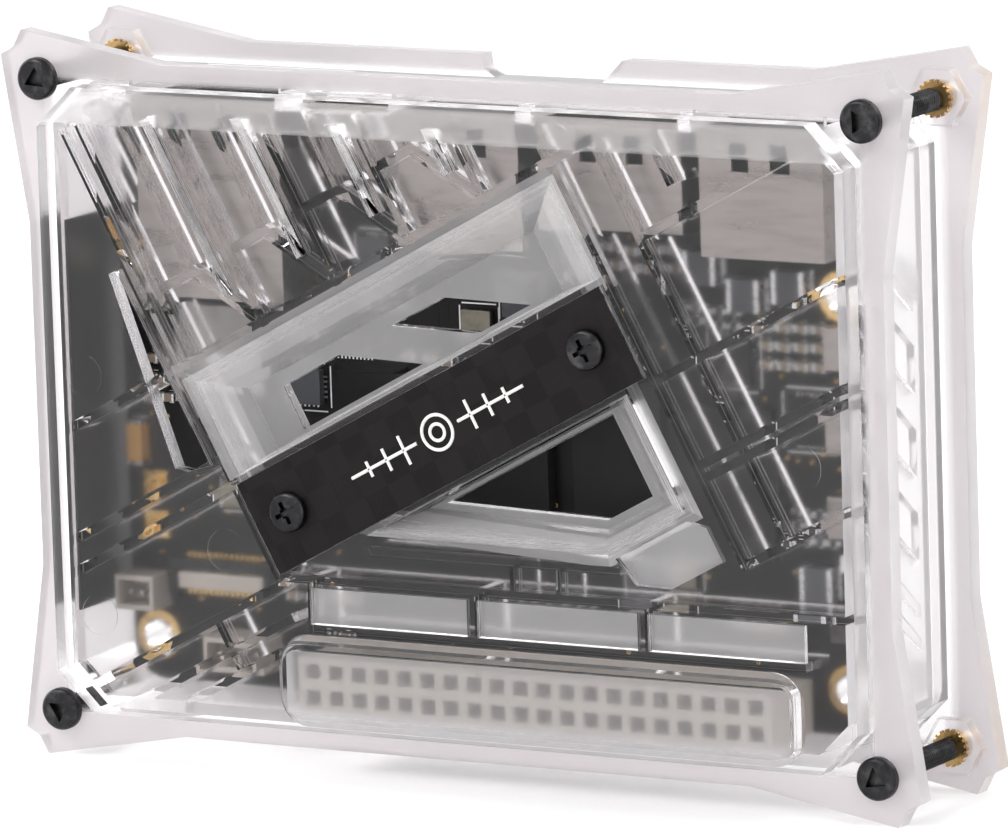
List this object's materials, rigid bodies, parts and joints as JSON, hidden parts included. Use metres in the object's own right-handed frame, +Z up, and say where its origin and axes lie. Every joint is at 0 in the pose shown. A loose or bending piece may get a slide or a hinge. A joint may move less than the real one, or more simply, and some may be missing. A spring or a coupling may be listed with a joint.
{
  "type": "single board computer in a clear case",
  "caption": "Flat single board computer closed between two clear waisted shells, with sockets along the top edge, a pin socket strip along the bottom and side keys.",
  "frame": {"origin": "bottom centre of the case, on the surface it stands on", "axes": "+Z up, front with the name plate faces -Y, +X to the right seen from the front, along the case"},
  "size_m": [0.0984, 0.0216, 0.0714],
  "materials": {
    "clear": "clear moulded polycarbonate, gloss",
    "carbon": "dark twill laminate, satin",
    "black_steel": "blackened steel, satin",
    "brass": "machined brass",
    "board": "black solder mask",
    "gold": "gold plating",
    "cream": "cream moulded nylon",
    "nickel": "nickel-plated sheet, satin",
    "black_plastic": "black moulded plastic",
    "package": "black epoxy package",
    "can": "matte tinned can",
    "crystal": "metal lid",
    "grey_package": "grey epoxy package",
    "ceramic": "tan ceramic",
    "amber": "amber epoxy",
    "resistor": "black glaze with tinned ends",
    "lamp": "milky epoxy",
    "antenna": "black film",
    "ink_lens": "dark epoxy",
    "plunger": "white nylon"
  },
  "bodies": {
    "case": {"front_shell": "clear", "back_shell": "clear", "name_plate": "carbon", "name_plate_screws": "black_steel", "case_screws": "black_steel", "threaded_inserts": "brass", "main_board": "board", "board_hole_rings": "gold", "pin_socket_strip": "cream", "pin_socket_contacts": "gold", "network_socket_shell": "nickel", "network_socket_housing": "black_plastic", "network_socket_contacts": "gold", "usb_c_socket_shell": "nickel", "usb_c_socket_tongue": "black_plastic", "usb_a_socket_left_shell": "nickel", "usb_a_socket_left_tongue": "black_plastic", "video_socket_shell": "nickel", "video_socket_tongue": "black_plastic", "usb_a_socket_right_shell": "nickel", "usb_a_socket_right_tongue": "black_plastic", "processor": "package", "memory_chips": "package", "storage_chip": "package", "radio_can": "can", "power_chips": "package", "interface_chips": "grey_package", "crystals": "crystal", "inductors": "grey_package", "ceramic_capacitors": "ceramic", "amber_capacitors": "amber", "chip_resistors": "resistor", "status_lamps": "lamp", "antenna_receptacles": "gold", "infrared_receiver": "ink_lens", "flat_cable_housing": "black_plastic", "flat_cable_contacts": "gold", "fan_connector": "cream", "clock_battery_connector": "cream", "card_slot": "nickel", "stick_on_antenna": "antenna", "side_switches": "nickel"},
    "power_button": {"power_key": "clear", "power_plunger": "plunger"},
    "function_button": {"function_key": "clear", "function_plunger": "plunger"},
    "reset_button": {"reset_key": "clear", "reset_plunger": "plunger"},
    "cable_latch": {"flat_cable_latch": "cream"}
  },
  "joints": [
    {"name": "power_press", "type": "slide", "parent": "case", "child": "power_button", "axis": [-1, 0, 0], "range_m": [0, 0.00025], "stiffness_N_per_m": 600},
    {"name": "function_press", "type": "slide", "parent": "case", "child": "function_button", "axis": [-1, 0, 0], "range_m": [0, 0.00025], "stiffness_N_per_m": 600},
    {"name": "reset_press", "type": "slide", "parent": "case", "child": "reset_button", "axis": [-1, 0, 0], "range_m": [0, 0.00025], "stiffness_N_per_m": 600},
    {"name": "cable_latch_flip", "type": "hinge", "parent": "case", "child": "cable_latch", "pos_m": [-0.0302, -0.00028, 0.01742], "axis": [-1, 0, 0], "range_deg": [0, 90]}
  ]
}
